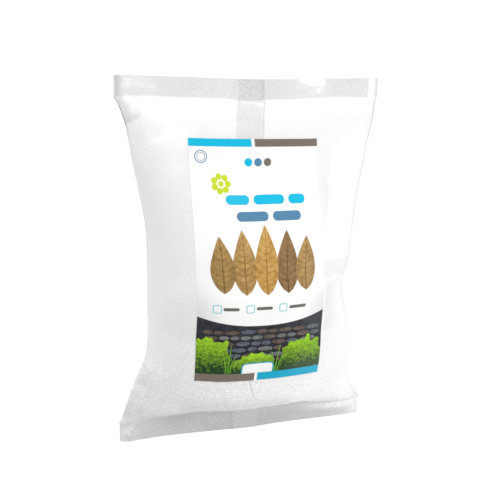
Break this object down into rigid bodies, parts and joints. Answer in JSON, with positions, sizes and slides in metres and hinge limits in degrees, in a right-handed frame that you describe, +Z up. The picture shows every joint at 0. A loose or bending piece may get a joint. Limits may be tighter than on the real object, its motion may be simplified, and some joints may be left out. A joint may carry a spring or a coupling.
{
  "type": "heat-sealed pillow pouch of dried leaves",
  "caption": "White heat-sealed pillow pouch with a lap seam and a printed front label, lying on its back, filled with a stack of dried leaves.",
  "frame": {"origin": "on the surface the pouch lies on, under the middle of its box", "axes": "+X across the pouch, +Y towards its top seal, +Z up out of its labelled front"},
  "size_m": [0.18, 0.25, 0.0826],
  "materials": {
    "film": "matte white pouch film with a fine grain",
    "label": "satin printed sticker",
    "leaf": "dry matte leaf blade"
  },
  "bodies": {
    "root": {"pouch_film": "film", "front_label": "label", "leaf_01": "leaf", "leaf_02": "leaf", "leaf_03": "leaf", "leaf_04": "leaf", "leaf_05": "leaf", "leaf_06": "leaf", "leaf_07": "leaf", "leaf_08": "leaf", "leaf_09": "leaf", "leaf_10": "leaf", "leaf_11": "leaf", "leaf_12": "leaf", "leaf_13": "leaf", "leaf_14": "leaf", "leaf_15": "leaf", "leaf_16": "leaf", "leaf_17": "leaf", "leaf_18": "leaf", "leaf_19": "leaf", "leaf_20": "leaf"}
  },
  "joints": []
}
